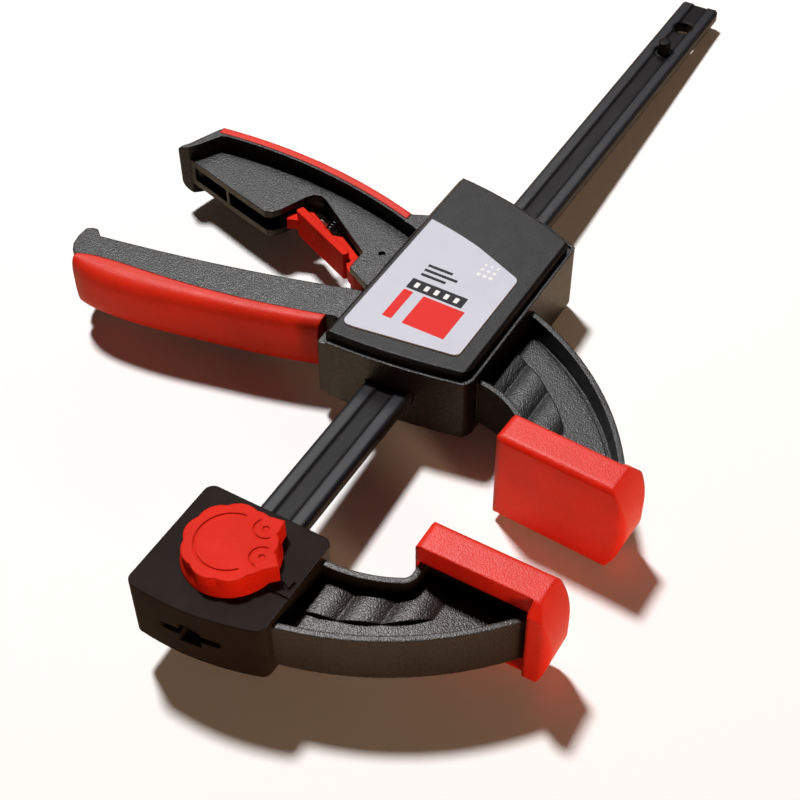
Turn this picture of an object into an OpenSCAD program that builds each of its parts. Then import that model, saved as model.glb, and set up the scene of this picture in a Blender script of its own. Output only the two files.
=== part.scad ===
// One-handed bar clamp with a sliding ratchet head.
// Frame: X runs along the rail, away from the fixed jaw; -Y points from the rail to the jaws,
// +Y to the handles; Z is square to the clamp's flat side. The origin is the middle of the
// fixed jaw's clamping face. Millimetres.

/* [Clamp] */
// Gap between the two jaw pads as modelled
opening = 34.5; // [12:0.5:60]
// Distance from the rail's edge to the tips of the pads
throat = 80; // [76:1:96]

/* [Rail] */
// Width of the flat rail
rail_w = 15.8; // [14:0.1:17]
// Thickness of the rail
rail_t = 4.9; // [4:0.1:5.6]
// Length of the rail
rail_len = 351; // [250:1:500]
// Rounding of the rail's long edges
rail_edge_r = 1.5; // [0.5:0.1:1.8]
// Width of the shallow groove down both flats
groove_w = 6.4; // [4:0.1:8]
// Depth of the groove
groove_d = 0.5; // [0.3:0.1:1]
// Distance of the locking hole from either end
hole_inset = 18; // [14:0.5:24]
// Radius of the locking holes
hole_r = 3.8; // [3:0.1:4.2]
// Distance of the stop pin from the tail end
stop_inset = 37.3; // [32:0.1:60]
// Radius of the stop pin
stop_r = 2.4; // [1.5:0.1:3]
// Height of the stop pin above the rail's flats
stop_rise = 4.3; // [2:0.1:6]

/* [Pads] */
// Height of a pad, square to the clamp's flat side
pad_h = 35.2; // [30:0.2:42]
// Length of a pad along the jaw
pad_len = 44; // [38:0.5:46]
// Thickness of a pad
pad_t = 10.6; // [8:0.1:12]
// Bulge of the pad's outer end
pad_bulge = 5.5; // [2:0.5:8]
// Wall between the clamping face and the jaw plate
pad_wall = 3.4; // [2:0.1:5]
// How far the pad wraps back round the tip of the arm
pad_wrap = 3.8; // [1:0.1:4]
// Tilt of the sliding pad towards the work at its tip, in degrees
toe_in = 3; // [0:0.5:4]

/* [Arms] */
// Height of the arm's rims, square to the flat side
arm_h = 17.4; // [12:0.2:21]
// Thickness of a rim
rim_t = 1.9; // [1.2:0.1:3]
// Thickness of the web between the rims
web_t = 4.8; // [4:0.1:6]
// Width of the moulded groove along the rims
web_groove_w = 1.7; // [0.8:0.1:2.5]
// Depth of that groove
web_groove_d = 1.4; // [0.6:0.1:1.5]
// Pitch of the swells across the web
swell_pitch = 11.1; // [9:0.1:13]
// Height of a swell's crest above the web
swell_h = 1.4; // [0.6:0.1:2]

/* [Fixed head] */
// Height of the head's block
head_h = 21.8; // [18:0.2:26]
// Distance of the block's rear face from the clamping face
head_back = 16.5; // [14:0.5:18]
// Length of the block along the rail
head_len = 40.8; // [36:0.2:50]
// Width of the block across the rail
head_w = 42; // [36:0.5:48]

/* [Locking knob] */
// Radius of the knob over its lobes
knob_r = 13.5; // [12:0.1:14]
// Height of the knob above the block
knob_h = 6.5; // [5:0.1:8]
// Number of lobes round the knob
knob_lobes = 9; // [7:1:13]
// Reach of the knob's two pointers from its axis
pointer_reach = 16.4; // [15:0.1:18]
// Radius of the knob's hollow stem
stem_r = 6.4; // [5.8:0.1:7]

/* [Housing] */
// Height of the housing without its covers
housing_h = 21.5; // [20.5:0.1:24]
// Thickness of each cover
cover_t = 3.8; // [3.2:0.1:5]
// Thickness of the housing's walls
wall = 3; // [2:0.1:3.6]

/* [Handles] */
// Gap between the squeeze lever and each cover
lever_gap = 0.35; // [0.2:0.05:1]
// Wall of the lever's channel
lever_wall = 2.6; // [1.8:0.1:3.5]
// Radius of the lever's pivot pin
lever_pin_r = 2.5; // [1.5:0.1:3]
// Height of the fixed handle's core
core_h = 11; // [9:0.2:12]
// Height of the hollow in the core
slot_h = 5.6; // [5:0.1:6.6]
// Thickness of the soft strip on the fixed handle's back
strip_t = 2.9; // [1:0.1:3]
// Height of the release trigger's blade
trigger_h = 11; // [8:0.2:13]
// Radius of the trigger's pivot pin
trigger_pin_r = 1.1; // [0.7:0.05:1.5]

/* [Plates and springs] */
// Thickness of one drive plate
drive_t = 2.4; // [1.5:0.1:2.6]
// Lean of the drive plates, in degrees
drive_lean = 5; // [3:0.5:6]
// Thickness of one brake plate
brake_t = 1.9; // [1.2:0.1:2]
// Lean of the brake plates when they lock, in degrees
brake_lean = 9; // [7:0.5:10]
// Wire of the drive spring
drive_wire = 1; // [0.6:0.1:1.1]

/* [Fits] */
// Running clearance of a pin in its bore
pin_gap = 0.05; // [0.02:0.01:0.1]
// Clearance of the rail in its passages
rail_gap = 0.15; // [0.05:0.05:0.3]
// Clearance between moulded pieces
part_gap = 0.15; // [0.05:0.05:0.3]

/* [Hidden] */
$fn = 64;
eps = 0.01;
far = 300;

// Jaws: y is measured from the rail's axis, negative towards the pads
pad_tip_y = -(rail_w / 2 + throat);
pad_inner_y = pad_tip_y + pad_len;
pad_mid_y = (pad_tip_y + pad_inner_y) / 2;
rail_y = -pad_mid_y;
stretch_y = throat - 80;
pad_bulge_r = (pow(pad_h / 2, 2) + pow(pad_bulge, 2)) / (2 * pad_bulge);
plate_t = 3.2;
heel_r = 3;
corner_over = 0.02;
plate_h = pad_h - 8;
mouth_h = pad_h - 13.2;
plate_y0 = pad_inner_y - 1.3;
plate_y1 = pad_tip_y + 8;
valley_z = 0.25;
swell_y = -22 - stretch_y / 2 - swell_pitch / 2;
swell_r = (pow(swell_pitch / 2, 2) + pow(swell_h - valley_z, 2)) / (2 * (swell_h - valley_z));

// Arcs of the arms' outer rim, inner rim and field of swells: [x, y, radius]
fixed_arcs = [[-55.7, 3.2 - stretch_y, 106.6], [-21.9, -22.4 - stretch_y, 43.6],
    [-22, -14.4 - stretch_y, 58.9]];
sliding_arcs = [[-34.1, 9.3 - stretch_y, 102.1], [-2.2, -25.1 - stretch_y, 26.6],
    [-18.5, 1.3 - stretch_y, 71.8]];
arm_root = 2;
root_gap = 2.7;

// Rail
end_wall = 4.3;
rail_x0 = end_wall - head_back - head_len;
rail_x1 = rail_x0 + rail_len;
knob_x = rail_x0 + hole_inset;
tail_hole_x = rail_x1 - hole_inset;
stop_x = rail_x1 - stop_inset;
passage_w = rail_w + 2 * rail_gap;
passage_h = rail_t + 2 * rail_gap;

// Fixed head, locking knob and locking pin
head_bow = [88.4 - head_back - head_len, 9.3, 88.4];
head_y1 = head_w / 2 - 0.6;
head_y0 = head_y1 - head_w;
head_corner_r = 3;
window_w = 6.8;
window_h = 8;
recess_x = head_back + head_len - 2.7;
recess_w = 16.4;
recess_h = 2.6;
mark_d = 0.5;
knob_z = head_h / 2;
stem_z = rail_t / 2 + 2;
ledge_z = stem_z + 1.6;
pin_tip_z = 0.4 - rail_t / 2;
pin_flange_r = stem_r - 1.4;
pin_flange_z = ledge_z + part_gap;
crown_z = knob_z + knob_h - 1.4;
lobe_r = knob_r / 2;
lobe_x = knob_r - lobe_r;
foot_r = knob_r + 0.8;
pointer_angle = -62.5;
pointer_tip = pointer_reach * [cos(28.4), sin(28.4)];

// Sliding head, measured from its own clamping face
h2 = housing_h / 2;
lever_h = housing_h - 2 * lever_gap;
front_arc = [245.9, 26.1, 232.8];
back_arc = [-51.2, 40.3, 158.3];
body_y0 = -25.9;
body_y1 = 25.3;
body_x = [11, 17.6, 94.5, 109];
lever_door = [18.6, 53.8];
arm_door = [60, 83];
cover_inset = 1.9;
cover_edge = 1;
lip_t = 1;
lip_h = 1.1;
lever_pivot = [38, -15];
nose = [41, 15.5];
nose_r = 3.2;
lever_boss_r = 6.4;
pin_seat = 2.5;
cheek_z = lever_h / 2 - lever_wall;
rib_x = 64.6;
rib_t = 2.2;
seat_x = 86;
seat_t = 2.4;
trigger_pivot = [64.1, 32.2];
fulcrum = [71.3, 10];
fulcrum_r = 0.8;
fulcrum_h = 12;
core_web_h = 3.4;
core_rib_y = 98;
core_rib_t = 1.4;
spring_seat = [67.5, 57];
spring_len = 10;
spring_bore_r = 2.5;
trigger_nose = [79.58, 18.11];
trigger_nose_r = 2;
handle_arc = [-103.5, 89.6, 194.2];
core_arc = [-105, 84, 189.3];
rim_handle_t = 4;
strip_y0 = 31;
strip_y1 = 114.2;
tip_y = 122.1;
tip_r = 7;

// Drive plates lean with their handle end towards +X and touch the lever's nose
drive_x = nose[0] + (nose_r + 0.1) / cos(drive_lean) - nose[1] * tan(drive_lean);
drive_hole = rail_w / cos(drive_lean) + drive_t * tan(drive_lean) + 0.1;
drive_ring_r = rail_w / 2 + 1.4;
drive_spring_x = drive_x + (2 * drive_t + 0.1) / cos(drive_lean)
    + (drive_ring_r + drive_wire) * tan(drive_lean) + 0.1;
brake_hole = rail_w / cos(brake_lean) + brake_t * tan(brake_lean) + 0.2;
brake_spring_y = -14;
brake_spring_r = 2.5;
brake_wire = 0.8;

// Squeeze lever's seam with its grip, from the housing to the tip: [y, x, depth of the grip]
seam = [
    [29.6, 25.3, 5.2],
    [38, 22.9, 5.7],
    [54, 18.9, 6.2],
    [72, 15.5, 7],
    [88, 13.4, 8.4],
    [102, 12, 8.8],
    [112, 10.4, 7],
    [117.6, 8.4, 3.2],
];
lever_back_arc = [672.2, 223, 661.7];

function unit(v) = v / norm(v);
function corner_half(a, b, c) = acos(unit(a - b) * unit(c - b)) / 2;
// Catmull-Rom curve through the rows of a table
function blend(a, b, c, d, t) =
    0.5 * (2 * b + (c - a) * t + (2 * a - 5 * b + 4 * c - d) * t * t
        + (3 * b - a - 3 * c + d) * t * t * t);
function curve(rows, steps) = [
    for (i = [0 : len(rows) - 2]) for (k = [0 : steps - 1])
        let (a = rows[max(i - 1, 0)], d = rows[min(i + 2, len(rows) - 1)])
        blend(a, rows[i], rows[i + 1], d, k / steps),
    rows[len(rows) - 1]
];

module on_rail() translate([0, rail_y, 0]) children();
module on_slider() translate([opening, rail_y, 0]) children();
module both_sides() for (s = [0, 1]) mirror([0, 0, s]) children();
module slab(h) translate([0, 0, -h / 2]) linear_extrude(h) children();
module disc(arc, grow = 0) translate([arc[0], arc[1]]) circle(arc[2] + grow);
module span(x0, x1, y0, y1) translate([x0, y0]) square([x1 - x0, y1 - y0]);
module box(x0, x1, y0, y1, h) translate([x0, y0, -h / 2]) cube([x1 - x0, y1 - y0, h]);
module post(at, r, h) translate([at[0], at[1], -h / 2]) cylinder(r = r, h = h);
module tilt_pad() translate([0, pad_mid_y + 5, 0]) rotate(-toe_in) translate([0, -pad_mid_y - 5, 0])
    children();

// Convex outline with rounded corners, one radius a corner
module rounded(pts, radii) {
    n = len(pts);
    polygon([
        for (i = [0 : n - 1])
            let (
                a = pts[(i + n - 1) % n], b = pts[i], c = pts[(i + 1) % n],
                t = radii[i] / tan(corner_half(a, b, c))
            )
            each [b + t * unit(a - b), b + t * unit(c - b)]
    ]);
    for (i = [0 : n - 1]) {
        a = pts[(i + n - 1) % n];
        b = pts[i];
        c = pts[(i + 1) % n];
        inward = unit(unit(a - b) + unit(c - b));
        translate(b + inward * radii[i] / sin(corner_half(a, b, c))) circle(radii[i]);
    }
}

module round_rect(x0, x1, y0, y1, r)
    rounded([[x0, y0], [x1, y0], [x1, y1], [x0, y1]], [r, r, r, r]);

// Wire coil along +Z from z = 0, swept as one closed tube
module coil(r, wire, length, turns) {
    sides = 6;
    per_turn = 14;
    n = round(turns * per_turn);
    rise = length - wire;
    ring = [for (i = [0 : n]) let (a = 360 * i / per_turn, z = wire / 2 + rise * i / n)
        for (j = [0 : sides - 1]) let (b = 360 * j / sides, q = r + wire / 2 * cos(b))
            [q * cos(a), q * sin(a), z + wire / 2 * sin(b)]];
    skin = [for (i = [0 : n - 1]) for (j = [0 : sides - 1])
        let (k = (j + 1) % sides)
        each [[i * sides + j, (i + 1) * sides + k, (i + 1) * sides + j],
              [i * sides + j, i * sides + k, (i + 1) * sides + k]]];
    caps = [[for (j = [sides - 1 : -1 : 0]) j], [for (j = [0 : sides - 1]) n * sides + j]];
    polyhedron(ring, concat(skin, caps), convexity = 8);
}

// Pad with its clamping face at x = 0 and the arm on the +X side
module jaw_pad_solid() {
    x1 = pad_t + pad_wrap;
    difference() {
        intersection() {
            rotate([90, 0, 90]) linear_extrude(x1) intersection() {
                round_rect(pad_tip_y, pad_inner_y, -pad_h / 2, pad_h / 2, 2.6);
                translate([pad_tip_y + pad_bulge_r, 0]) circle(pad_bulge_r);
            }
            slab(pad_h) {
                rounded([[0, pad_tip_y], [pad_t, pad_tip_y], [pad_t, pad_inner_y], [0, pad_inner_y]],
                    [3, 1, 1.2, 2.4]);
                rounded([[0, pad_tip_y], [x1, pad_tip_y], [x1, plate_y1 - 0.4], [0, plate_y1 - 0.4]],
                    [3, 3, 0.6, 1]);
            }
            translate([0, pad_inner_y, 0]) rotate([90, 0, 0]) linear_extrude(pad_len) rounded([
                [0, -pad_h / 2], [pad_t, -pad_h / 2], [x1, pad_wrap - pad_h / 2],
                [x1, pad_h / 2 - pad_wrap], [pad_t, pad_h / 2], [0, pad_h / 2],
            ], [2, 1.6, 2, 2, 1.6, 2]);
        }
        box(pad_wall, pad_wall + plate_t + 2 * part_gap, plate_y1 - part_gap, plate_y0 + part_gap,
            plate_h + 2 * part_gap);
        box(pad_wall + eps, x1 + 1, plate_y1 - part_gap, plate_y0 + part_gap, mouth_h);
    }
}

// Plate at the end of an arm that fills the pad's pocket
module jaw_plate() {
    box(pad_wall + part_gap, pad_wall + part_gap + plate_t, plate_y1, plate_y0, plate_h);
    box(pad_wall + part_gap, pad_t - 2.4, plate_y1, plate_y0, mouth_h - 2 * part_gap);
}

// Space of the throat behind the pad, with a round corner at the arm's heel
module throat_plan(arc, heel_y, inset) {
    c = [arc[0] + sqrt(pow(arc[2] - heel_r, 2) - pow(heel_y + heel_r - arc[1], 2)), heel_y + heel_r];
    join = arc[1] + (arc[2] + inset) * unit(c - [arc[0], arc[1]])[1];
    intersection() {
        disc(arc, inset);
        span(-far, far, join, far);
    }
    translate(c) circle(heel_r + inset + corner_over);
    span(-far, c[0], heel_y - inset, far);
}

// Plan of an arm between its outer and inner arcs, drawn in from its edges by inset
module arm_outline(arcs, lean, inset, root_y) {
    intersection() {
        difference() {
            disc(arcs[0], -inset);
            throat_plan(arcs[1], plate_y0 - (pad_t + 3) * sin(lean), inset);
            span(-far, far, -far, plate_y1 + inset);
        }
        span(pad_wall + 2 + inset, far, -far, root_y);
    }
}

// Arm of I section that runs into its block at root_y, with three swells across its web
module arm(arcs, lean, root_y) {
    field_y = root_y - arm_root - root_gap;
    slab(arm_h) difference() {
        arm_outline(arcs, lean, 0, root_y);
        arm_outline(arcs, lean, rim_t, root_y + 1);
    }
    slab(web_t - 2 * web_groove_d) arm_outline(arcs, lean, rim_t / 2, root_y);
    slab(web_t) arm_outline(arcs, lean, rim_t + web_groove_w, field_y);
    both_sides() intersection() {
        linear_extrude(arm_h) intersection() {
            arm_outline(arcs, lean, rim_t + web_groove_w, field_y);
            disc(arcs[2]);
        }
        for (i = [0 : 2])
            translate([0, swell_y - i * swell_pitch, web_t / 2 + swell_h - swell_r]) rotate([0, 90, 0])
                cylinder(r = swell_r, h = far);
    }
}

module rail_passage(x0, x1) box(x0, x1, -passage_w / 2, passage_w / 2, passage_h);

module rail_section() {
    difference() {
        round_rect(-rail_w / 2, rail_w / 2, -rail_t / 2, rail_t / 2, rail_edge_r);
        for (s = [-1, 1]) polygon([
            [groove_d - groove_w / 2, s * (rail_t / 2 - groove_d)], [-groove_w / 2, s * rail_t / 2],
            [-groove_w / 2, s * rail_t], [groove_w / 2, s * rail_t],
            [groove_w / 2, s * rail_t / 2], [groove_w / 2 - groove_d, s * (rail_t / 2 - groove_d)],
        ]);
    }
}

module rail_shape() {
    difference() {
        intersection() {
            translate([rail_x0, 0, 0]) rotate([90, 0, 90]) linear_extrude(rail_len) rail_section();
            slab(rail_t + 1) round_rect(rail_x0, rail_x1, -rail_w / 2, rail_w / 2, 1.8);
        }
        for (x = [knob_x, stop_x, tail_hole_x]) post([x, 0], hole_r, rail_t + 2);
    }
}

module stop_pin_shape() {
    post([stop_x, 0], stop_r, rail_t + 2 * stop_rise);
    post([stop_x, 0], hole_r - 0.01, rail_t - 1.6);
}

// Block with a bowed end, its corners rounded
module head_plan() {
    r = head_corner_r;
    bow = head_bow;
    low = [bow[0] - sqrt(pow(bow[2] - r, 2) - pow(head_y0 + r - bow[1], 2)), head_y0 + r];
    high = [bow[0] - sqrt(pow(bow[2] - r, 2) - pow(head_y1 - r - bow[1], 2)), head_y1 - r];
    intersection() {
        union() {
            intersection() {
                disc(bow);
                span(-far, 0, bow[1] + bow[2] * unit(low - [bow[0], bow[1]])[1],
                    bow[1] + bow[2] * unit(high - [bow[0], bow[1]])[1]);
            }
            translate(low) circle(r + corner_over);
            translate(high) circle(r + corner_over);
            polygon([
                low, [low[0], head_y0 - 1], [0, head_y0 - 1], [0, head_y1 + 1], [high[0], head_y1 + 1], high,
            ]);
        }
        round_rect(-far, -head_back, head_y0, head_y1, r);
    }
}

module head_shape() {
    difference() {
        union() {
            slab(head_h) head_plan();
            mirror([1, 0, 0]) {
                arm(fixed_arcs, 0, head_y0 + arm_root);
                jaw_plate();
            }
        }
        rail_passage(rail_x0 - 0.3, 0);
        // Window in the end face, halved by a bar that lies in a long recess with round ends
        both_sides() translate([-far, -window_w / 2, recess_h / 2])
            cube([far + rail_x0, window_w, (window_h - recess_h) / 2]);
        box(-far, -recess_x, -recess_w / 2, recess_w / 2, recess_h);
        for (s = [-1, 1])
            translate([-far, s * recess_w / 2, 0]) rotate([0, 90, 0])
                cylinder(r = recess_h / 2, h = far - recess_x);
        translate([knob_x, 0, stem_z - part_gap]) cylinder(r = stem_r + 0.1, h = head_h);
        translate([knob_x, 0, 0]) cylinder(r = hole_r + 0.02, h = head_h);
        // Engraved pointer beside the knob's lug
        translate([knob_x, 0, knob_z - mark_d]) {
            translate([-4.6, head_y0 - 1, 0]) cube([0.6, 8.2, 2 * mark_d]);
            translate([-2.1, head_y0 + 1.6, 0]) rotate(-25) cube([0.6, 3.4, 2 * mark_d]);
            translate([-2.1, head_y0 + 2, 0]) rotate(-94) cube([0.6, 3.4, 2 * mark_d]);
        }
    }
}

// Lobed grip with two pointers for its locked and free positions
module knob_plan() {
    for (i = [0 : knob_lobes - 1])
        rotate(pointer_angle + 360 / knob_lobes * i) translate([lobe_x, 0]) circle(lobe_r);
    rotate(pointer_angle) for (s = [0, 1]) mirror([0, s]) polygon([
        [0, 0], knob_r * [cos(43), sin(43)], pointer_tip, knob_r * [cos(15), sin(15)],
    ]);
}

module knob_shape() {
    translate([knob_x, 0, 0]) difference() {
        union() {
            translate([0, 0, knob_z + 0.1]) linear_extrude(knob_h - 0.1) knob_plan();
            translate([0, 0, knob_z + 0.1]) cylinder(r1 = foot_r, r2 = foot_r - 1.8, h = 4.4);
            translate([0, 0, stem_z]) cylinder(r = stem_r, h = knob_z - stem_z + 1);
        }
        translate([0, 0, ledge_z]) cylinder(r = pin_flange_r + 0.1, h = crown_z - ledge_z);
        translate([0, 0, 0]) cylinder(r = hole_r + 0.1, h = ledge_z + 1);
        // Ring on the crown, and a round mark in each pointer
        translate([0, 0, knob_z + knob_h - 0.3]) {
            difference() {
                cylinder(r = 10, h = 1);
                translate([0, 0, -1]) cylinder(r = 9.6, h = 3);
                rotate(pointer_angle) translate([3.6, -far / 2, -1]) cube([far, far, 3]);
            }
            for (a = [-27.5, 27.5]) rotate(pointer_angle + a) translate([10.6, 0, 0]) {
                cylinder(r = 0.9, h = 1);
                difference() {
                    cylinder(r = 3.6, h = 1);
                    translate([0, 0, -1]) cylinder(r = 3.25, h = 3);
                    translate([0, -5, -1]) cube([10, 10, 3]);
                }
            }
        }
    }
}

module locking_pin_shape() {
    translate([knob_x, 0, pin_tip_z]) cylinder(r = hole_r - pin_gap, h = pin_flange_z + 1.2 - pin_tip_z);
    translate([knob_x, 0, pin_flange_z]) cylinder(r = pin_flange_r, h = 1.2);
}

module pin_spring_shape() {
    z0 = pin_flange_z + 1.3;
    translate([knob_x, 0, z0]) coil(3.9, 0.7, crown_z - 0.1 - z0, 4);
}

// Plan of the housing's box, drawn in from its walls by inset
module body_plan(inset) {
    intersection() {
        disc(front_arc, -inset);
        disc(back_arc, -inset);
        rounded([
            [body_x[0] + inset, body_y1 - inset], [body_x[1] + inset, body_y0 + inset],
            [body_x[2] - inset, body_y0 + inset], [body_x[3] - inset, body_y1 - inset],
        ], [3, 6, 5, 3]);
    }
}

// Core of the fixed handle, notched for the trigger
module handle_core_plan() {
    polygon([
        [48.2, 22.5], [48.2, 29], [52.8, 38], [61.4, 38.2], [78.4, 63.6], [79.6, 66.4],
        [78.8, 68.8], [76.6, 70.4], [70.2, 73], [66.2, 74.6], [63.6, 76.4], [62.6, 79.2],
        [67.3, 97.2], [71.4, 111.4], [73.4, 119.2], [76, 117.6], [80, 114.4], [95, 106], [95, 22.5],
    ]);
}

// Rim along the back and the tip of the fixed handle, with the seat of its soft strip cut out
module handle_rim_plan() {
    difference() {
        union() {
            difference() {
                disc(handle_arc);
                disc(handle_arc, -rim_handle_t);
                span(-far, far, -far, 24);
                span(-far, far, 114.4, far);
                span(-far, 70, -far, far);
            }
            polygon([
                [71.6, 122.1], [75.6, 119.7], [85.5, 115.9], [87.6, 115], [89.6, 113],
                [85.4, 110.2], [84.8, 112.2], [76.7, 116.4], [73, 118.8],
            ]);
            polygon([[81.2, 31], [84.3, 24.6], [84.3, 23], [76, 23], [77, 31]]);
        }
        difference() {
            span(60, far, strip_y0 - 0.1, strip_y1 + 0.1);
            disc(handle_arc, -strip_t - 0.1);
        }
    }
}

module handle_slot_plan() {
    polygon([
        [60, 15], [84, 15], [84, 31], [68, 37], [72.4, 50], [75.8, 57], [80.4, 63.8], [81.8, 67],
        [80.4, 71], [76, 77], [78.6, 98], [78.6, 107], [76, 111.4], [74.2, 116.4], [64, 118],
        [56, 80], [42, 42], [42, 29.6], [51.4, 27], [51.4, 20], [60, 20],
    ]);
}

// Side view of the fixed handle's end, with its lower corner well rounded
module handle_end() {
    translate([40, 0, 0]) rotate([90, 0, 90]) linear_extrude(80)
        rounded([[0, -h2], [tip_y, -h2], [tip_y, h2], [0, h2]], [1, tip_r, 1.2, 1]);
}

// Raised lip round the cover, left open where the handles pass
module cover_lip() {
    both_sides() translate([0, 0, h2 - 1]) linear_extrude(lip_h + 1) difference() {
        body_plan(0);
        body_plan(lip_t);
        span(-far, far, body_y1 - 3.2, far);
    }
}

module housing_shape() {
    difference() {
        union() {
            difference() {
                slab(housing_h) body_plan(0);
                slab(housing_h + 1) body_plan(wall);
                // Openings for the squeeze lever and the trigger's arm in the handle side
                box(lever_door[0], lever_door[1], body_y1 - wall - 1, body_y1 + 1, housing_h + 1);
                box(arm_door[0], arm_door[1], body_y1 - wall - 1, body_y1 + 1, slot_h);
            }
            cover_lip();
            // Rib that carries the drive spring, with the brake plates' fulcrum, and the rear seat
            slab(housing_h) intersection() {
                body_plan(1);
                union() {
                    span(rib_x, rib_x + rib_t, -far, far);
                    span(seat_x, seat_x + seat_t, -far, far);
                }
            }
            box(rib_x, fulcrum[0] - fulcrum_r, fulcrum[1] - fulcrum_r, fulcrum[1] + fulcrum_r, fulcrum_h);
            post([fulcrum[0] - fulcrum_r, fulcrum[1]], fulcrum_r, fulcrum_h);
            // Web that ties the handle's core to the middle of its rim
            slab(core_web_h) intersection() {
                handle_core_plan();
                disc(handle_arc, -(rim_handle_t + strip_t + 0.1) / 2);
            }
            slab(core_h) intersection() {
                handle_core_plan();
                disc(core_arc);
            }
            intersection() {
                slab(housing_h) handle_rim_plan();
                handle_end();
            }
            arm(sliding_arcs, toe_in, body_y0 + arm_root);
            tilt_pad() jaw_plate();
        }
        rail_passage(0, far);
        // Hollow of the core, open along its front from the tip to the trigger, with one rib
        difference() {
            slab(slot_h) handle_slot_plan();
            box(60, 90, core_rib_y, core_rib_y + core_rib_t, housing_h);
        }
        post(trigger_pivot, trigger_pin_r, core_h + 2);
        translate([spring_seat[0] + 2.5, spring_seat[1], 0]) rotate([0, 90, 0])
            cylinder(r = spring_bore_r, h = spring_len - 2.4);
    }
}

// Cover with a bevelled top edge, set in from the housing's walls
module cover_shape() {
    t0 = cover_t - cover_edge;
    y0 = body_y0 + cover_inset;
    y1 = body_y1 - cover_inset;
    difference() {
        intersection() {
            translate([0, 0, h2]) linear_extrude(cover_t) body_plan(cover_inset);
            cover_bevel(front_arc, t0);
            cover_bevel(back_arc, t0);
            translate([0, 0, h2]) rotate([90, 0, 90]) linear_extrude(far) polygon([
                [y0, 0], [y1, 0], [y1, t0], [y1 - cover_edge, cover_t], [y0 + cover_edge, cover_t], [y0, t0],
            ]);
        }
        translate([lever_pivot[0], lever_pivot[1], 0]) cylinder(r = lever_pin_r + 0.02, h = h2 + pin_seat + 0.1);
    }
}

// Body of the cover inside one arc, with the bevel at its top
module cover_bevel(arc, t0) {
    r = arc[2] - cover_inset;
    translate([arc[0], arc[1], h2]) {
        cylinder(r = r, h = t0);
        translate([0, 0, t0]) cylinder(r1 = r, r2 = r - cover_edge, h = cover_edge);
    }
}

module label_shape() {
    translate([0, 0, h2 + cover_t + 0.02]) linear_extrude(0.45) intersection() {
        disc(front_arc, -7.8);
        disc(back_arc, -27.3);
        rounded([[20.5, 20.9], [26, -18.1], [66, -18.1], [82, 20.9]], [2.5, 2.5, 2.5, 2.5]);
    }
}

module strip_shape() {
    slab(housing_h) difference() {
        disc(handle_arc);
        disc(handle_arc, -strip_t);
        span(-far, far, -far, strip_y0);
        span(-far, far, strip_y1, far);
        span(-far, 60, -far, far);
    }
}

// Lever: a channel open towards the fixed handle, with two cheeks that straddle the rail
module lever_plan() {
    back = lever_back_arc;
    polygon(concat(
        [for (p = curve(seam, 4)) [p[1], p[0]]],
        [[9, 119.6], [11.8, 121.5], [15.7, 122.5], [19.9, 122.6], [21.4, 120.8], [21.6, 118.8]],
        [for (y = [116 : -6 : 26]) [back[0] - sqrt(pow(back[2], 2) - pow(y - back[1], 2)), y]],
        [[26.4, 26]]
    ));
}

// Space between the lever's walls, open towards the fixed handle
module lever_hollow_plan() {
    rows = [for (p = curve(seam, 2)) if (p[0] > 30 && p[0] < 112) p];
    polygon(concat(
        [[28.6, 20], [60, 20], [60, 113]],
        [for (k = [len(rows) - 1 : -1 : 0]) [rows[k][1] + lever_wall + 0.5, rows[k][0]]]
    ));
}

module cheek_plan() {
    polygon([[26.8, 31], [39.2, 31], [40.2, 26], [44.3, -14.2], [31.7, -16.2], [25.8, 25]]);
    translate(lever_pivot) circle(lever_boss_r);
    translate(nose) circle(nose_r + 0.6);
}

module lever_shape() {
    difference() {
        union() {
            difference() {
                slab(lever_h) lever_plan();
                slab(2 * cheek_z) lever_hollow_plan();
            }
            both_sides() translate([0, 0, cheek_z]) linear_extrude(lever_wall) cheek_plan();
            post(nose, nose_r, 2 * cheek_z + 1);
        }
        post(lever_pivot, lever_pin_r + pin_gap, housing_h + 2);
    }
}

module grip_shape() {
    rows = curve(seam, 5);
    sides = 22;
    pts = [for (p = rows) for (j = [0 : sides])
        let (a = 180 * j / sides, c = cos(a), w = pow(abs(c), 0.62) * sign(c))
        [p[1] - 0.1 - p[2] * pow(sin(a), 0.62), p[0], lever_h / 2 * w]];
    m = sides + 1;
    skin = [for (i = [0 : len(rows) - 2]) for (j = [0 : sides])
        let (k = (j + 1) % m)
        each [[i * m + j, i * m + k, (i + 1) * m + k], [i * m + j, (i + 1) * m + k, (i + 1) * m + j]]];
    caps = [[for (j = [m - 1 : -1 : 0]) j], [for (j = [0 : m - 1]) (len(rows) - 1) * m + j]];
    polyhedron(pts, concat(skin, caps), convexity = 4);
}

// Drive plate number i, counted from the lever's nose
module drive_plate_shape(i) {
    translate([drive_x, 0, 0]) rotate(-drive_lean) difference() {
        box(i * (drive_t + 0.1), i * (drive_t + 0.1) + drive_t, -12, 18.5, 14.4);
        translate([0, (i * (drive_t + 0.1) + drive_t / 2) * tan(drive_lean), 0])
            box(-1, 3 * drive_t, -drive_hole / 2, drive_hole / 2, rail_t + 0.4);
    }
}

module drive_spring_shape() {
    translate([drive_spring_x, 0, 0]) rotate([0, 90, 0])
        coil(drive_ring_r, drive_wire, rib_x - 0.1 - drive_spring_x, 3.5);
}

// Brake plate number i, leaning about the fulcrum
module brake_plate_shape(i) {
    x0 = i * (brake_t + 0.1);
    xm = x0 + brake_t / 2;
    hole_s = -(fulcrum[1] - xm * sin(brake_lean)) / cos(brake_lean);
    translate([fulcrum[0] + 0.05, fulcrum[1], 0]) rotate(-brake_lean) difference() {
        union() {
            box(x0, x0 + brake_t, hole_s - 17, hole_s + 13.5, 15);
            box(x0, x0 + brake_t, hole_s, 11.2, 4.6);
        }
        box(x0 - 1, x0 + brake_t + 1, hole_s - brake_hole / 2, hole_s + brake_hole / 2, rail_t + 0.4);
    }
}

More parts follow.
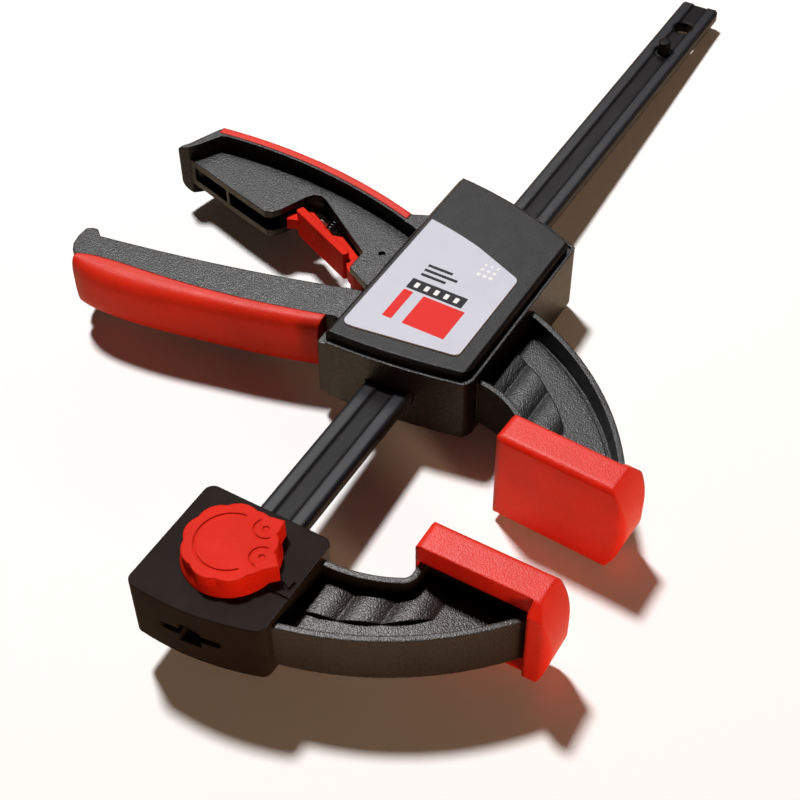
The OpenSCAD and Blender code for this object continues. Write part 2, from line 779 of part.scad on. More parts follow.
module brake_spring_shape() {
    x0 = fulcrum[0] + 0.1 + (2 * brake_t + 0.1) / cos(brake_lean)
        - (fulcrum[1] - brake_spring_y - brake_spring_r - brake_wire / 2) * tan(brake_lean) + 0.1;
    translate([x0, brake_spring_y, 0]) rotate([0, 90, 0])
        coil(brake_spring_r, brake_wire, seat_x - 0.1 - x0, 5);
}

module trigger_shape() {
    difference() {
        union() {
            // Finger plate, then the web behind it with its tongue in the core's hollow
            slab(trigger_h) rounded([[68.6, 69.9], [56.7, 43], [59.1, 41.9], [71.4, 68.6]], [0.8, 0.8, 0.8, 0.8]);
            slab(slot_h - 0.4) polygon([
                [57.6, 42.6], [54.2, 40], [51.6, 36], [50.4, 31.8], [54, 29.4], [62, 28.8], [72, 23.9],
                [77.9, 23.3], trigger_nose + [-1.8, 1.6], trigger_nose + [-trigger_nose_r, 0],
                trigger_nose + [trigger_nose_r, 0], [82, 26.2], [78, 28], [67.6, 34.4], [60.9, 39.2],
                [67.4, 49.9], [66.4, 53.4], [73.4, 65.6], [72, 69],
            ]);
            slab(slot_h - 1.6) polygon([[68, 67.6], [66.2, 72.4], [68.8, 73.6], [72, 68]]);
            post(trigger_nose, trigger_nose_r, slot_h - 0.4);
        }
        post(trigger_pivot, trigger_pin_r + pin_gap, slot_h + 1);
        translate([spring_seat[0] - 0.1, spring_seat[1], 0]) rotate([0, 90, 0])
            cylinder(r = spring_bore_r, h = spring_len);
    }
}

module trigger_spring_shape()
    translate([spring_seat[0], spring_seat[1], 0]) rotate([0, 90, 0]) coil(1.9, 0.6, spring_len, 6);

rail();
rail_stop_pin();
fixed_head();
fixed_jaw_pad();
locking_knob();
locking_pin();
locking_pin_spring();
housing();
sliding_jaw_pad();
top_cover();
bottom_cover();
label_plate();
handle_strip();
squeeze_lever();
lever_grip();
lever_pivot_pin();
drive_plate_front();
drive_plate_rear();
drive_spring();
release_trigger();
trigger_pivot_pin();
trigger_spring();
brake_plate_front();
brake_plate_rear();
brake_spring();

module rail() color("#2b3038") on_rail() rail_shape();
module rail_stop_pin() color("#3a3e45") on_rail() stop_pin_shape();
module fixed_head() color("#2a2524") on_rail() head_shape();
module fixed_jaw_pad() color("#e03222") on_rail() mirror([1, 0, 0]) jaw_pad_solid();
module locking_knob() color("#e03222") on_rail() knob_shape();
module locking_pin() color("#9aa0a6") on_rail() locking_pin_shape();
module locking_pin_spring() color("#9aa0a6") on_rail() pin_spring_shape();
module housing() color("#2f2f31") on_slider() housing_shape();
module sliding_jaw_pad() color("#e03222") on_slider() tilt_pad() jaw_pad_solid();
module top_cover() color("#262628") on_slider() cover_shape();
module bottom_cover() color("#262628") on_slider() mirror([0, 0, 1]) cover_shape();
module label_plate() color("#dedbe2") on_slider() label_shape();
module handle_strip() color("#e03222") on_slider() strip_shape();
module squeeze_lever() color("#2f2f31") on_slider() lever_shape();
module lever_grip() color("#e03222") on_slider() grip_shape();
module lever_pivot_pin() color("#9aa0a6") on_slider() post(lever_pivot, lever_pin_r, housing_h + 2 * pin_seat);
module drive_plate_front() color("#6d7278") on_slider() drive_plate_shape(0);
module drive_plate_rear() color("#6d7278") on_slider() drive_plate_shape(1);
module drive_spring() color("#9aa0a6") on_slider() drive_spring_shape();
module release_trigger() color("#e03222") on_slider() trigger_shape();
module trigger_pivot_pin() color("#9aa0a6") on_slider() post(trigger_pivot, trigger_pin_r - 0.01, core_h - 2.4);
module trigger_spring() color("#9aa0a6") on_slider() trigger_spring_shape();
module brake_plate_front() color("#6d7278") on_slider() brake_plate_shape(0);
module brake_plate_rear() color("#6d7278") on_slider() brake_plate_shape(1);
module brake_spring() color("#9aa0a6") on_slider() brake_spring_shape();
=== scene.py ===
"""One-handed bar clamp: finishes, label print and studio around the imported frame."""

import math

import bmesh
import bpy
from bpy.props import FloatProperty, FloatVectorProperty, PointerProperty
from mathutils import Matrix, Vector


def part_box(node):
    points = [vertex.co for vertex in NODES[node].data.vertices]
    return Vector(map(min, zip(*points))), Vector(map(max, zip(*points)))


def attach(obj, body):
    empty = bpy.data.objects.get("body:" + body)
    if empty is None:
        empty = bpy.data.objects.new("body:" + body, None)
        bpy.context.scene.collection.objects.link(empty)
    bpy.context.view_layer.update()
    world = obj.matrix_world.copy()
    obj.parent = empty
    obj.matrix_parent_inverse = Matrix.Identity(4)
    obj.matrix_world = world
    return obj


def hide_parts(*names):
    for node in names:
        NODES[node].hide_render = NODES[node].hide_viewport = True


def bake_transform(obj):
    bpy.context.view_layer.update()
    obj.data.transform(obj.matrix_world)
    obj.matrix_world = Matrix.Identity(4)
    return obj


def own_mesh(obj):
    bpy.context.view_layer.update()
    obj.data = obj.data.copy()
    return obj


bl_info = {
    "name": "Bar clamp finishes",
    "version": (1, 0, 0),
    "blender": (4, 5, 0),
    "location": "View3D > Sidebar > Clamp",
    "description": "Finishes, label print and studio for a one-handed bar clamp",
    "category": "Object",
}

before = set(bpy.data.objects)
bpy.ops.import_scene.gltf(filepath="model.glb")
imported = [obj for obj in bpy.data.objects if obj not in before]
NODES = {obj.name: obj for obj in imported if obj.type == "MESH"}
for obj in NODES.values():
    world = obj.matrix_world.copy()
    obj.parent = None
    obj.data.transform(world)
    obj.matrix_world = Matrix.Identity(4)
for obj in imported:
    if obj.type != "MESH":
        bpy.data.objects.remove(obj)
MM = 0.001
GLOSS = "Specular IOR Level"
# Stretch of the noise along the rolled rail
ROLLED = (0.3, 1, 1)
# Spring, body, joint that presses it, its axis and its travel in mm
SPRINGS = (
    ("locking_pin_spring", "fixed_jaw", "locking_pin_slide", 2, 5.0),
    ("drive_spring", "sliding_jaw", "drive_plate_slide", 0, 9.0),
    ("brake_spring", "sliding_jaw", "brake_plate_hinge", 0, 3.4),
)
# Print on the label: centre from the label's low corner, width, depth and corner radius in mm
RED_BLOCKS = ((16, 15, 14, 15, 0.3), (16, 28, 14, 3.4, 0.3))
DARK_BLOCKS = (
    (26.4, 19.6, 5, 20.2, 0.3), (31.8, 24, 1.2, 9, 0.2), (34.2, 22.5, 1.2, 12, 0.2),
    (36.6, 24, 1.2, 9, 0.2),
)
WHITE_BLOCKS = [(26.4, 12.5 + 3.6 * i, 2.4, 1.5, 0.2) for i in range(5)]
# Centre from the label's low corner and radius in mm
PALE_DOTS = [(41 + 2.6 * i, 8 + 2.2 * k, 0.75 - 0.12 * i) for i in range(3) for k in range(3)]


# Settings


def number(name, description, default, **kind):
    return FloatProperty(name=name, description=description, default=default, **kind)


def length(name, description, metres):
    return number(name, description, metres, subtype="DISTANCE", unit="LENGTH")


def angle(name, description, degrees):
    return number(name, description, math.radians(degrees), subtype="ANGLE")


def power(name, description, watts):
    return number(name, description, watts, unit="POWER")


def vector(name, description, default, **kind):
    return FloatVectorProperty(name=name, description=description, default=default, **kind)


def colour(name, description, default):
    return vector(name, description, default, subtype="COLOR", min=0, max=1)


def point(name, description, default):
    return vector(name, description, default, subtype="TRANSLATION", unit="LENGTH")


def direction(name, description, default):
    return vector(name, description, default, subtype="DIRECTION")


class ClampColours(bpy.types.PropertyGroup):
    moulding: colour("Moulding", "Black of the pebbled mouldings", (0.0055, 0.0048, 0.0052))
    head: colour("Head", "Brown-black of the fixed head", (0.018, 0.0125, 0.0105))
    plastic: colour("Red plastic", "Red of the knob and the trigger", (0.7, 0.02, 0.008))
    pad: colour("Pad", "Red of the jaw pads", (0.74, 0.02, 0.007))
    grip: colour("Grip", "Red of the soft grips", (0.68, 0.024, 0.008))
    rail: colour("Rail", "Blue-black of the rail's flanges", (0.012, 0.012, 0.015))
    # Painted shade: a darker black than the flanges, standing in for the shade in the rail's
    # shallow groove
    groove: colour("Groove", "Black of the rail's grooves", (0.006, 0.005, 0.0055))
    steel: colour("Steel", "Bare steel of the pins and plates", (0.42, 0.43, 0.45))
    spring: colour("Springs", "Oiled steel of the springs", (0.05, 0.05, 0.052))
    foil: colour("Label", "Pale foil of the label", (0.52, 0.53, 0.60))
    red_ink: colour("Red ink", "Red print on the label", (0.72, 0.012, 0.006))
    dark_ink: colour("Dark ink", "Dark print on the label", (0.012, 0.012, 0.015))
    pale_ink: colour("Pale ink", "White print on the label", (0.82, 0.82, 0.82))
    floor: colour("Floor", "White of the floor", (0.96, 0.95, 0.94))
    bounce: colour("Bounce", "Warm tone that the floor casts back", (0.72, 0.54, 0.37))
    glow: colour("Glow", "Tint of the far floor's own light", (1, 0.8, 0.65))
    key: colour("Key light", "Tint of the key light and the gloss card", (1, 0.985, 0.985))
    fill: colour("Fill light", "Tint of the low warm fill", (1, 0.62, 0.36))
    ambient: colour("Ambient", "Tint of the world's light", (1, 0.66, 0.42))


class ClampFinish(bpy.types.PropertyGroup):
    edge: length("Edge radius", "Rounding that the light sees on moulded edges", 0.8 * MM)
    pebble: length("Pebble size", "Size of the moulded pebbles", 0.5 * MM)
    pebble_depth: length("Pebble depth", "Depth of the moulded pebbles", 0.11 * MM)
    fine_size: number("Fine size", "Size of the finer grain, as a share of a pebble's", 0.7)
    fine_depth: number("Fine depth", "Depth of the finer grain, as a share of a pebble's", 0.8)
    sparkle: number("Sparkle", "Swing of the gloss from grain to grain", 0.35)
    print_height: length("Print height", "Height of the label's printed blocks", 0.04 * MM)
    smooth_block: length("Smooth block", "Part of the head without pebbles", 42 * MM)
    groove_half: length("Groove", "Half the width of the rail's groove", 3.4 * MM)


class ClampStudio(bpy.types.PropertyGroup):
    lens: number("Lens", "Camera's focal length in millimetres", 67.67)
    azimuth: angle("Azimuth", "Camera's angle round Z", -59.03)
    elevation: angle("Elevation", "Camera's angle above the floor", 46.9)
    roll: angle("Roll", "Camera's turn about its own axis", -0.517)
    distance: length("Distance", "Camera's distance from its target", 0.469)
    target: point("Target", "Point that the camera looks at", (47.76 * MM, 61.0 * MM, 0))
    aim: point("Aim", "Point that the lights face", (0.08, 0.05, 0))
    key_way: direction("Key way", "Way from the aim to the key light", (0.239, 0.414, 1))
    key_distance: length("Key distance", "Distance of the key light", 3.0)
    key_size: length("Key size", "Diameter of the key light", 0.36)
    key_power: power("Key power", "Power of the key light", 101.0)
    fill_way: direction("Fill way", "Way from the aim to the low fill", (-0.45, -0.85, 0.09))
    fill_distance: length("Fill distance", "Distance of the low fill", 1.6)
    fill_size: length("Fill size", "Diameter of the low fill", 0.36)
    fill_power: power("Fill power", "Power of the low fill", 16.5)
    card_way: direction("Card way", "Way from the aim to the gloss card", (0.6, 0.34, 0.72))
    card_distance: length("Card distance", "Distance of the gloss card", 2.0)
    card_size: length("Card size", "Diameter of the gloss card", 1.1)
    card_power: power("Card power", "Power of the gloss card", 14.0)
    ambient: number("Ambient", "Strength of the world's light", 0.02)
    floor_size: length("Floor", "Side of the floor", 6.0)
    floor_slope: number("Slope", "Rise of the floor along the rail", 0.055)
    floor_gap: length("Floor gap", "Gap between the floor and the cover's far edge", 0.02 * MM)
    glow_start: length("Glow start", "Distance from which the floor's own light grows", 0.5)
    glow_end: length("Glow end", "Distance at which the floor's own light is full", 1.6)
    glow_near: number("Near glow", "Floor's own light before it grows", 0.01)
    glow_far: number("Far glow", "Floor's own light when it is full", 1.0)


# Materials


class Finish:
    """A Principled material that is built up from object coordinates."""

    def __init__(self, name, base, roughness, gloss=0.5, metallic=0.0):
        self.material = bpy.data.materials.new(name)
        self.material.use_nodes = True
        self.tree = self.material.node_tree
        self.shader = self.tree.nodes["Principled BSDF"]
        self.shader.inputs["Base Color"].default_value = (*base, 1)
        self.shader.inputs["Roughness"].default_value = roughness
        self.shader.inputs["Metallic"].default_value = metallic
        self.shader.inputs[GLOSS].default_value = gloss
        self.base = base
        self.roughness = roughness
        self.gloss = gloss
        self.normal = None

    def node(self, kind, inputs=None, **settings):
        made = self.tree.nodes.new(kind)
        for key, value in settings.items():
            setattr(made, key, value)
        for key, value in (inputs or {}).items():
            if isinstance(value, bpy.types.NodeSocket):
                self.tree.links.new(value, made.inputs[key])
            else:
                made.inputs[key].default_value = value
        return made

    def drive(self, socket, value):
        """Link a value to one of the shader's sockets."""
        self.tree.links.new(value, self.shader.inputs[socket])

    def place(self):
        return self.node("ShaderNodeTexCoord").outputs["Object"]

    def along_y(self):
        return self.node("ShaderNodeSeparateXYZ", {"Vector": self.place()}).outputs["Y"]

    def scaled_place(self, scale=(1, 1, 1)):
        inputs = {"Vector": self.place(), "Scale": scale}
        return self.node("ShaderNodeMapping", inputs).outputs["Vector"]

    def noise(self, size, detail=3.0, scale=(1, 1, 1)):
        inputs = {"Vector": self.scaled_place(scale), "Scale": 1 / size, "Detail": detail}
        return self.node("ShaderNodeTexNoise", inputs).outputs["Fac"]

    def calculate(self, operation, *values):
        inputs = dict(enumerate(values))
        return self.node("ShaderNodeMath", inputs, operation=operation).outputs[0]

    def ramp(self, value, low, high, start=0.35, end=0.65):
        """From low at start to high at end."""
        return self.node("ShaderNodeMapRange", {
            "Value": value, "From Min": start, "From Max": end, "To Min": low, "To Max": high,
        }).outputs["Result"]

    def blend(self, mask, low, high):
        """The value low where the mask is 0, high where it is 1."""
        return self.ramp(mask, low, high, start=0, end=1)

    def blend_colour(self, mask, low, high):
        """The colour low where the mask is 0, high where it is 1."""
        inputs = {"Factor": mask, "A": (*low, 1), "B": (*high, 1)}
        return self.node("ShaderNodeMix", inputs, data_type="RGBA").outputs["Result"]

    def soften_edges(self, radius):
        self.normal = self.node("ShaderNodeBevel", {"Radius": radius}, samples=6).outputs["Normal"]
        self.drive("Normal", self.normal)

    def bump(self, height, depth, strength=1.0):
        inputs = {"Height": height, "Distance": depth, "Strength": strength}
        if self.normal:
            inputs["Normal"] = self.normal
        self.normal = self.node("ShaderNodeBump", inputs).outputs["Normal"]
        self.drive("Normal", self.normal)

    def pebbles(self, finish, size=1.0, depth=1.0, where=1.0):
        """Rounded pebbles under a finer grain, as deep as where says."""
        pebble, pebble_depth = finish.pebble * size, finish.pebble_depth * depth
        cells = self.node("ShaderNodeTexVoronoi", {
            "Vector": self.scaled_place(), "Scale": 1 / pebble, "Smoothness": 1.0,
        }, feature="SMOOTH_F1").outputs["Distance"]
        self.bump(cells, -pebble_depth, where)
        fine = self.noise(pebble * finish.fine_size, detail=2.0)
        self.bump(fine, pebble_depth * finish.fine_depth, where)

    def sparkle(self, finish, size=1.0):
        """Bright and dull grains round the gloss, as a value that a mask can use."""
        grains = self.noise(finish.pebble * size * finish.fine_size, detail=1.0)
        dull, bright = self.gloss * (1 - finish.sparkle), self.gloss * (1 + finish.sparkle)
        return self.ramp(grains, dull, bright, start=0.38, end=0.62)

    def below(self, edge, blend):
        """A mask that is 1 where Y is under the edge and 0 over it."""
        return self.ramp(self.along_y(), 1, 0, edge - blend, edge + blend)

    def beyond(self, middle, half, blend):
        """A mask that is 0 where Y is within half of the middle and 1 further out."""
        off = self.calculate("ABSOLUTE", self.calculate("SUBTRACT", self.along_y(), middle))
        return self.ramp(off, 0, 1, half - blend, half + blend)

    def vary_colour(self, size, spread):
        """Slow shifts of the base colour."""
        low = [max(c * (1 - spread), 0) for c in self.base]
        high = [min(c * (1 + spread), 1) for c in self.base]
        mask = self.ramp(self.noise(size), 0, 1)
        self.drive("Base Color", self.blend_colour(mask, low, high))

    def vary_roughness(self, size, spread, scale=(1, 1, 1)):
        smooth, rough = self.roughness - spread, self.roughness + spread
        self.drive("Roughness", self.ramp(self.noise(size, scale=scale), smooth, rough))


def moulded(name, base, finish, roughness, gloss, pebble=1.0, depth=1.0, edge=1.0):
    """Pebbled plastic; pebble, depth and edge are shares of the finish's own sizes."""
    made = Finish(name, base, roughness, gloss)
    made.soften_edges(finish.edge * edge)
    made.drive(GLOSS, made.sparkle(finish, pebble))
    made.pebbles(finish, pebble, depth)
    made.vary_colour(size=14 * MM, spread=0.06)
    made.vary_roughness(size=5 * MM, spread=0.03)
    return made.material


def dress(material, *names):
    for name in names:
        piece = NODES[name]
        if not piece.material_slots:
            piece.data.materials.append(material)
        for slot in piece.material_slots:
            slot.material = material


# Objects


def new_object(name, data):
    made = bpy.data.objects.new(name, data)
    bpy.context.scene.collection.objects.link(made)
    return made


def new_piece(name, mesh, material):
    """A mesh object at the origin, from a bmesh in metres."""
    data = bpy.data.meshes.new(name)
    mesh.to_mesh(data)
    mesh.free()
    data.materials.append(material)
    return new_object(name, data)


def is_upright(edge):
    """Whether the edge's ends lie at different heights."""
    return abs(edge.verts[0].co.z - edge.verts[1].co.z) > 1e-9


class ClampOperator(bpy.types.Operator):
    bl_options = {"REGISTER", "UNDO"}

    @property
    def colours(self):
        return bpy.context.scene.clamp_colours

    @property
    def finish(self):
        return bpy.context.scene.clamp_finish

    @property
    def studio(self):
        return bpy.context.scene.clamp_studio


class CLAMP_OT_mouldings(ClampOperator):
    """Give the housing, the lever and the covers their pebbled black"""
    bl_idname = "clamp.mouldings"
    bl_label = "Black mouldings"

    def execute(self, context):
        black = moulded("pebbled_black", self.colours.moulding, self.finish,
                        roughness=0.36, gloss=0.4)
        cover = moulded("cover_black", self.colours.moulding, self.finish,
                        roughness=0.38, gloss=0.19, pebble=0.8, depth=0.4)
        dress(black, "housing", "squeeze_lever")
        dress(cover, "top_cover", "bottom_cover")
        return {"FINISHED"}


class CLAMP_OT_head(ClampOperator):
    """Give the fixed head its black, smooth on the block and pebbled on the arm"""
    bl_idname = "clamp.head"
    bl_label = "Fixed head"

    def execute(self, context):
        head = Finish("head_black", self.colours.head, roughness=0.45, gloss=0.42)
        head.soften_edges(self.finish.edge)
        arm = head.below(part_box("fixed_head")[1][1] - self.finish.smooth_block, blend=0.4 * MM)
        head.pebbles(self.finish, where=arm)
        head.vary_colour(size=12 * MM, spread=0.15)
        head.drive("Roughness", head.blend(arm, head.roughness, 0.36))
        head.drive(GLOSS, head.blend(arm, 0.015, head.sparkle(self.finish)))
        dress(head.material, "fixed_head")
        return {"FINISHED"}


class CLAMP_OT_pads(ClampOperator):
    """Give the jaw pads their grained red"""
    bl_idname = "clamp.pads"
    bl_label = "Jaw pads"

    def execute(self, context):
        red = moulded("pad_red", self.colours.pad, self.finish,
                      roughness=0.38, gloss=0.26, pebble=0.9, depth=0.6, edge=2.0)
        dress(red, "fixed_jaw_pad", "sliding_jaw_pad")
        return {"FINISHED"}


class CLAMP_OT_knob_and_trigger(ClampOperator):
    """Give the locking knob and the release trigger their smooth red"""
    bl_idname = "clamp.knob_and_trigger"
    bl_label = "Knob and trigger"

    def execute(self, context):
        red = moulded("smooth_red", self.colours.plastic, self.finish,
                      roughness=0.42, gloss=0.025, depth=0.1)
        dress(red, "locking_knob", "release_trigger")
        return {"FINISHED"}


class CLAMP_OT_grips(ClampOperator):
    """Give the lever's grip and the handle's strip their soft red"""
    bl_idname = "clamp.grips"
    bl_label = "Soft grips"

    def execute(self, context):
        soft = moulded("soft_red", self.colours.grip, self.finish,
                       roughness=0.46, gloss=0.18, pebble=0.9, depth=0.3, edge=1.5)
        dress(soft, "lever_grip", "handle_strip")
        return {"FINISHED"}


class CLAMP_OT_rail(ClampOperator):
    """Give the rail and its stop pin blackened steel, less glossy in the rail's groove and
    darkened there by painted shade
    """
    bl_idname = "clamp.rail"
    bl_label = "Rail"

    def execute(self, context):
        steel = Finish("blackened_steel", self.colours.rail, roughness=0.34, gloss=0.17)
        steel.soften_edges(2.0 * self.finish.edge)
        steel.bump(steel.noise(0.5 * MM, scale=ROLLED), depth=0.006 * MM)
        steel.bump(steel.noise(0.18 * MM), depth=0.004 * MM)
        low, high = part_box("rail")
        flange = steel.beyond((low[1] + high[1]) / 2, self.finish.groove_half, blend=0.3 * MM)
        # In the groove the gloss is halved and the base colour turns to the darker black of
        # painted shade
        steel.drive(GLOSS, steel.blend(flange, 0.5 * steel.gloss, steel.gloss))
        steel.drive("Base Color", steel.blend_colour(flange, self.colours.groove, steel.base))
        steel.vary_roughness(size=3 * MM, spread=0.05, scale=ROLLED)
        dress(steel.material, "rail", "rail_stop_pin")
        return {"FINISHED"}


class CLAMP_OT_inner_steel(ClampOperator):
    """Give the pins, plates and springs inside bare and oiled steel"""
    bl_idname = "clamp.inner_steel"
    bl_label = "Inner steel"

    def steel(self, name, base):
        made = Finish(name, base, roughness=0.3, metallic=1.0)
        made.bump(made.noise(0.4 * MM), depth=0.008 * MM)
        made.vary_roughness(size=3 * MM, spread=0.08)
        return made.material

    def execute(self, context):
        dress(self.steel("bare_steel", self.colours.steel),
              "locking_pin", "lever_pivot_pin", "drive_plate_front", "drive_plate_rear",
              "trigger_pivot_pin", "brake_plate_front", "brake_plate_rear")
        dress(self.steel("spring_steel", self.colours.spring),
              "trigger_spring", *[row[0] for row in SPRINGS])
        return {"FINISHED"}


class CLAMP_OT_springs(ClampOperator):
    """Stand a merged, smooth-shaded copy in for each spring, on its body where it has one"""
    bl_idname = "clamp.springs"
    bl_label = "Springs"

    def coil(self, name, body=None):
        """A merged copy that stands for the spring's node, on a body when one is given."""
        node = NODES[name]
        mesh = bmesh.new()
        mesh.from_mesh(node.data)
        bmesh.ops.remove_doubles(mesh, verts=mesh.verts, dist=0.001 * MM)
        for face in mesh.faces:
            face.smooth = True
        coil = new_piece(name + "_coil", mesh, node.material_slots[0].material)
        if body:
            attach(coil, body)
        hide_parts(name)
        return coil

    def execute(self, context):
        for name, body, joint, axis, travel in SPRINGS:
            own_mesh(self.coil(name, body))
        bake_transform(self.coil("trigger_spring"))
        return {"FINISHED"}


class CLAMP_OT_label(ClampOperator):
    """Give the label its pale foil and a plain print of blocks, bars and dots"""
    bl_idname = "clamp.label"
    bl_label = "Label"

    def ink(self, name, base):
        made = Finish(name, base, roughness=0.34, gloss=0.08)
        made.vary_roughness(size=3 * MM, spread=0.04)
        return made.material

    def put(self, mesh, verts, x, y):
        """Move the vertices from the origin to a point in mm from the label's low corner."""
        low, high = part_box("label_plate")
        bmesh.ops.translate(mesh, vec=(low[0] + x * MM, low[1] + y * MM, high[2]), verts=verts)

    def blocks(self, name, rows, material, height=1.0):
        """Blocks with rounded corners, as high as a share of the print's height."""
        mesh = bmesh.new()
        for x, y, width, depth, radius in rows:
            verts = bmesh.ops.create_cube(mesh, size=1.0)["verts"]
            sides = (width * MM, depth * MM, height * self.finish.print_height)
            bmesh.ops.scale(mesh, vec=sides, verts=verts)
            self.put(mesh, verts, x, y)
            upright = [edge for edge in mesh.edges if edge.verts[0] in verts and is_upright(edge)]
            bmesh.ops.bevel(mesh, geom=upright, offset=radius * MM, offset_type="OFFSET",
                            segments=4, profile=0.5, affect="EDGES", material=-1)
        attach(new_piece(name, mesh, material), "sliding_jaw")

    def dots(self, name, rows, material):
        mesh = bmesh.new()
        for x, y, radius in rows:
            verts = bmesh.ops.create_cone(
                mesh, cap_ends=True, segments=20, radius1=radius * MM, radius2=radius * MM,
                depth=self.finish.print_height)["verts"]
            self.put(mesh, verts, x, y)
        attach(new_piece(name, mesh, material), "sliding_jaw")

    def execute(self, context):
        foil = Finish("label_foil", self.colours.foil, roughness=0.36, gloss=0.25)
        foil.vary_colour(size=20 * MM, spread=0.02)
        foil.vary_roughness(size=4 * MM, spread=0.04)
        dress(foil.material, "label_plate")
        self.blocks("label_red_print", RED_BLOCKS, self.ink("label_red", self.colours.red_ink))
        self.blocks("label_dark_print", DARK_BLOCKS, self.ink("label_dark", self.colours.dark_ink))
        pale = self.ink("label_pale", self.colours.pale_ink)
        self.blocks("label_white_print", WHITE_BLOCKS, pale, height=1.6)
        self.dots("label_pale_print", PALE_DOTS, pale)
        return {"FINISHED"}


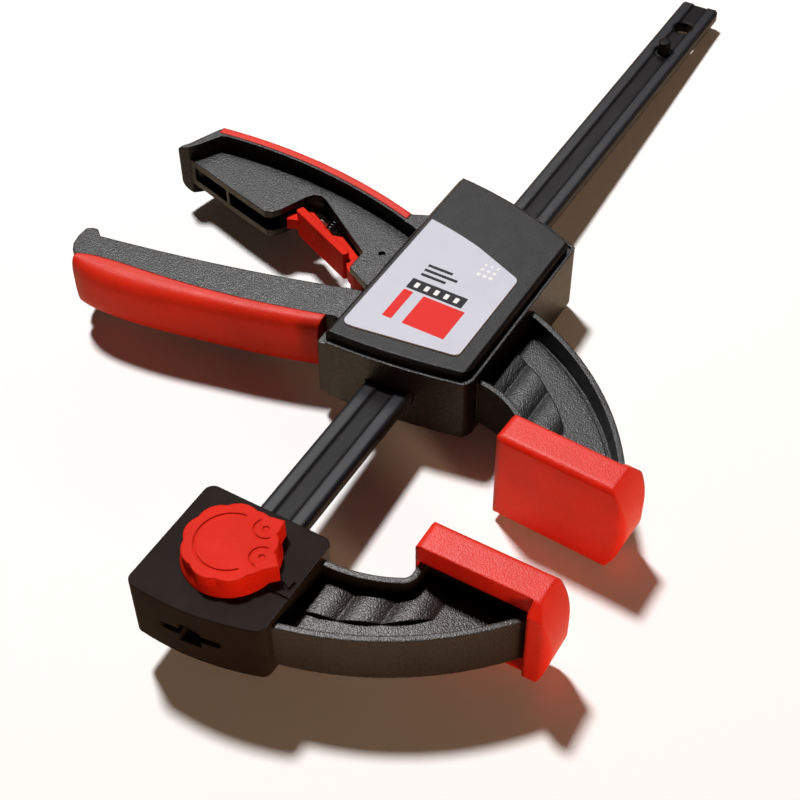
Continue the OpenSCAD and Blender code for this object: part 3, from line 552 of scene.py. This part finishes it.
class CLAMP_OT_stage(ClampOperator):
    """Build the pale floor, the studio light and the camera"""
    bl_idname = "clamp.stage"
    bl_label = "Studio"

    def lamp(self, name, kind, tint):
        """A round lamp with the studio's settings of its kind, turned to the aim."""
        way, distance, size, power = [
            getattr(self.studio, f"{kind}_{key}") for key in ("way", "distance", "size", "power")]
        light = bpy.data.lights.new(name, "AREA")
        light.shape = "DISK"
        light.size = size
        light.energy = power
        light.color = tint
        lamp = new_object(name, light)
        lamp.location = self.studio.aim + distance * way.normalized()
        lamp.rotation_euler = (-way).to_track_quat("-Z", "Y").to_euler()
        return lamp

    def paper(self):
        """Warm in what it casts back, white to the camera, with a glow that hides its far edge."""
        studio, colours = self.studio, self.colours
        paper = Finish("floor_paper", colours.floor, roughness=0.9)
        paper.bump(paper.noise(2 * MM), depth=0.02 * MM)
        rays = paper.node("ShaderNodeLightPath").outputs
        seen = rays["Is Camera Ray"]
        paper.drive("Base Color", paper.blend_colour(seen, colours.bounce, colours.floor))
        for kind in ("Is Glossy Ray", "Is Transmission Ray"):
            seen = paper.calculate("MAXIMUM", seen, rays[kind])
        far = paper.node("ShaderNodeVectorMath", {0: paper.place()}, operation="LENGTH")
        strength = paper.ramp(far.outputs["Value"], studio.glow_near, studio.glow_far,
                              studio.glow_start, studio.glow_end)
        glow = paper.node("ShaderNodeEmission", {
            "Color": (*colours.glow, 1), "Strength": paper.calculate("MULTIPLY", seen, strength),
        })
        both = paper.node("ShaderNodeAddShader", {0: paper.shader.outputs[0], 1: glow.outputs[0]})
        surface = paper.tree.nodes["Material Output"].inputs["Surface"]
        paper.tree.links.new(both.outputs[0], surface)
        return paper.material

    def floor(self):
        """Floor that slopes along the rail and meets the bottom cover's far edge."""
        studio = self.studio
        low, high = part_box("bottom_cover")
        mesh = bmesh.new()
        bmesh.ops.create_grid(mesh, x_segments=1, y_segments=1, size=studio.floor_size / 2)
        for vert in mesh.verts:
            rise = studio.floor_slope * (vert.co.x - high[0])
            vert.co.z = low[2] + rise - studio.floor_gap
        new_piece("floor", mesh, self.paper())

    def world(self):
        """Dim warm light from all round, behind a white that only the camera sees."""
        world = bpy.data.worlds.new("studio")
        bpy.context.scene.world = world
        world.use_nodes = True
        tree = world.node_tree
        ambient = tree.nodes["Background"]
        ambient.inputs["Color"].default_value = (*self.colours.ambient, 1)
        ambient.inputs["Strength"].default_value = self.studio.ambient
        white = tree.nodes.new("ShaderNodeBackground")
        white.inputs["Color"].default_value = (1, 1, 1, 1)
        rays = tree.nodes.new("ShaderNodeLightPath")
        mix = tree.nodes.new("ShaderNodeMixShader")
        tree.links.new(rays.outputs["Is Camera Ray"], mix.inputs["Fac"])
        tree.links.new(ambient.outputs[0], mix.inputs[1])
        tree.links.new(white.outputs[0], mix.inputs[2])
        tree.links.new(mix.outputs[0], tree.nodes["World Output"].inputs["Surface"])

    def camera(self):
        studio = self.studio
        azimuth, elevation, roll = studio.azimuth, studio.elevation, studio.roll
        flat = math.cos(elevation)
        right = Vector((math.cos(azimuth), math.sin(azimuth), 0))
        back = Vector((math.sin(azimuth) * flat, -math.cos(azimuth) * flat, math.sin(elevation)))
        up = back.cross(right)
        columns = (
            math.cos(roll) * right + math.sin(roll) * up,
            math.cos(roll) * up - math.sin(roll) * right,
            back,
            studio.target + studio.distance * back,
        )
        data = bpy.data.cameras.new("camera")
        data.lens = studio.lens
        data.sensor_width = 36
        data.clip_start = 0.01
        camera = new_object("camera", data)
        camera.matrix_world = Matrix([[v[i] for v in columns] for i in range(3)] + [[0, 0, 0, 1]])
        bpy.context.scene.camera = camera

    def execute(self, context):
        self.floor()
        self.lamp("key_light", "key", self.colours.key)
        self.lamp("fill_light", "fill", self.colours.fill).visible_glossy = False
        self.lamp("gloss_card", "card", self.colours.key).visible_diffuse = False
        self.world()
        self.camera()
        context.scene.view_settings.view_transform = "Standard"
        return {"FINISHED"}


OPERATORS = (
    CLAMP_OT_mouldings, CLAMP_OT_head, CLAMP_OT_pads, CLAMP_OT_knob_and_trigger, CLAMP_OT_grips,
    CLAMP_OT_rail, CLAMP_OT_inner_steel, CLAMP_OT_springs, CLAMP_OT_label, CLAMP_OT_stage,
)


class CLAMP_PT_panel(bpy.types.Panel):
    """Steps and settings of the bar clamp's finishes"""
    bl_label = "Bar clamp"
    bl_space_type = "VIEW_3D"
    bl_region_type = "UI"
    bl_category = "Clamp"

    def draw(self, context):
        scene = context.scene
        for group in (scene.clamp_colours, scene.clamp_finish, scene.clamp_studio):
            box = self.layout.box()
            for key in group.__annotations__:
                box.prop(group, key)
        for operator in OPERATORS:
            self.layout.operator(operator.bl_idname)


CLASSES = (ClampColours, ClampFinish, ClampStudio, *OPERATORS, CLAMP_PT_panel)


def register():
    for each in CLASSES:
        bpy.utils.register_class(each)
    bpy.types.Scene.clamp_colours = PointerProperty(type=ClampColours)
    bpy.types.Scene.clamp_finish = PointerProperty(type=ClampFinish)
    bpy.types.Scene.clamp_studio = PointerProperty(type=ClampStudio)


def unregister():
    del bpy.types.Scene.clamp_studio
    del bpy.types.Scene.clamp_finish
    del bpy.types.Scene.clamp_colours
    for each in reversed(CLASSES):
        bpy.utils.unregister_class(each)


def main():
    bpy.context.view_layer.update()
    register()
    for operator in OPERATORS:
        group, name = operator.bl_idname.split(".")
        getattr(getattr(bpy.ops, group), name)()


if __name__ == "__main__":
    main()
